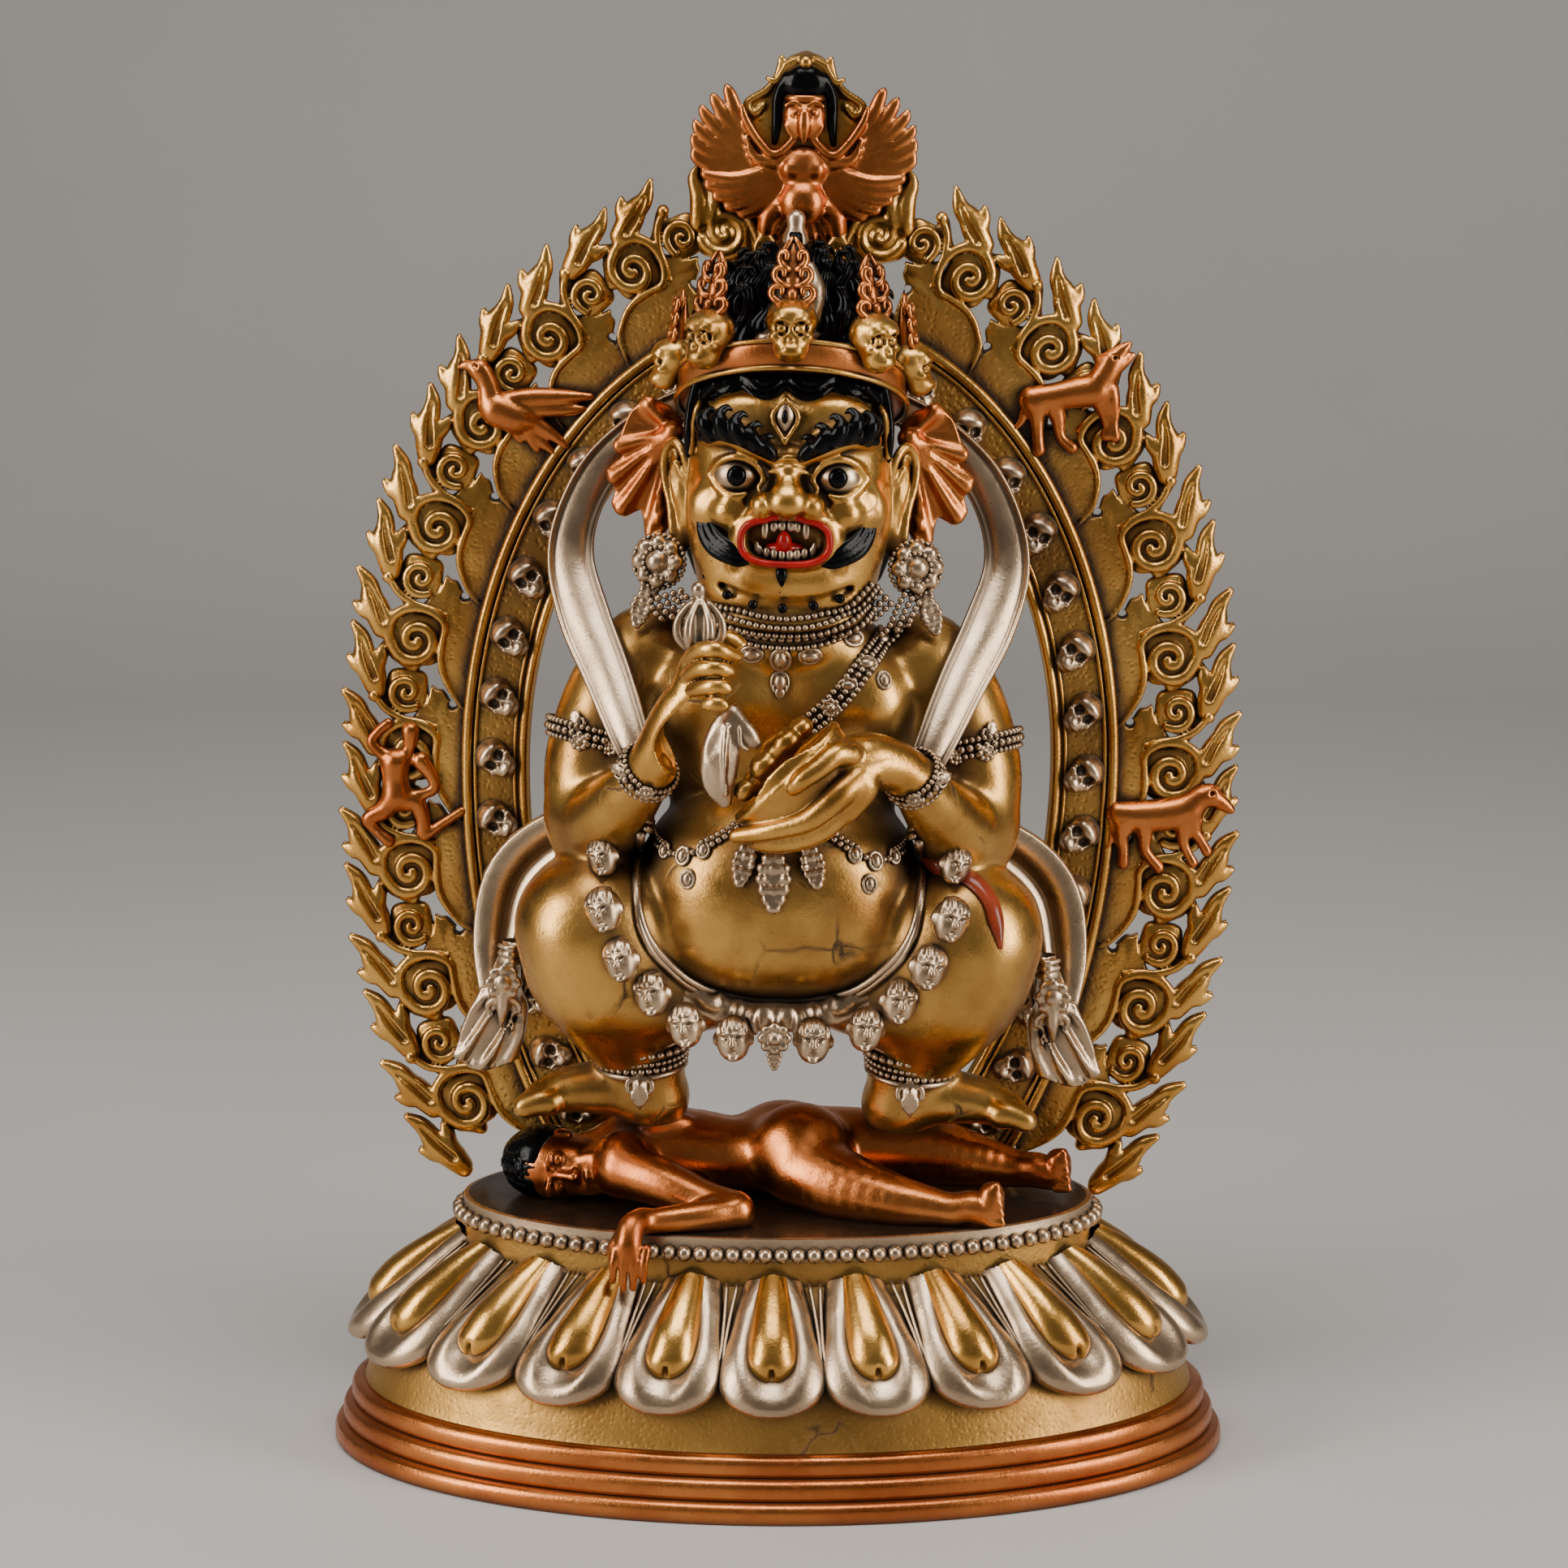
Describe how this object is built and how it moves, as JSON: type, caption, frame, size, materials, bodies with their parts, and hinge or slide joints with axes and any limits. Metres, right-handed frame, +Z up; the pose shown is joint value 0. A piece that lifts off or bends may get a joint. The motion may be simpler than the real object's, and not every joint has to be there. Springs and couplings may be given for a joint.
{
  "type": "mahakala figure",
  "caption": "Gilt wrathful protector figure on a prone body, on an oval lotus plinth, before a pierced flame aureole.",
  "frame": {"origin": "centre of the plinth's underside", "axes": "+Z up, -Y towards the viewer of the face, +X to that viewer's right"},
  "size_m": [0.3054, 0.18, 0.4629],
  "materials": {
    "gold": "satin antique gold with brown patina in the hollows",
    "copper": "reddish antique copper, darker in the hollows",
    "silver": "warm antique silver with dark hollows",
    "black_lacquer": "glossy black lacquer",
    "red_enamel": "glossy red paint on lips and tongue",
    "eye_white": "silvery white paint on the eyes"
  },
  "bodies": {
    "root": {"lotus_plinth": "gold", "trampled_figure": "copper", "mahakala_figure": "gold", "flame_aureole": "gold"}
  },
  "joints": []
}
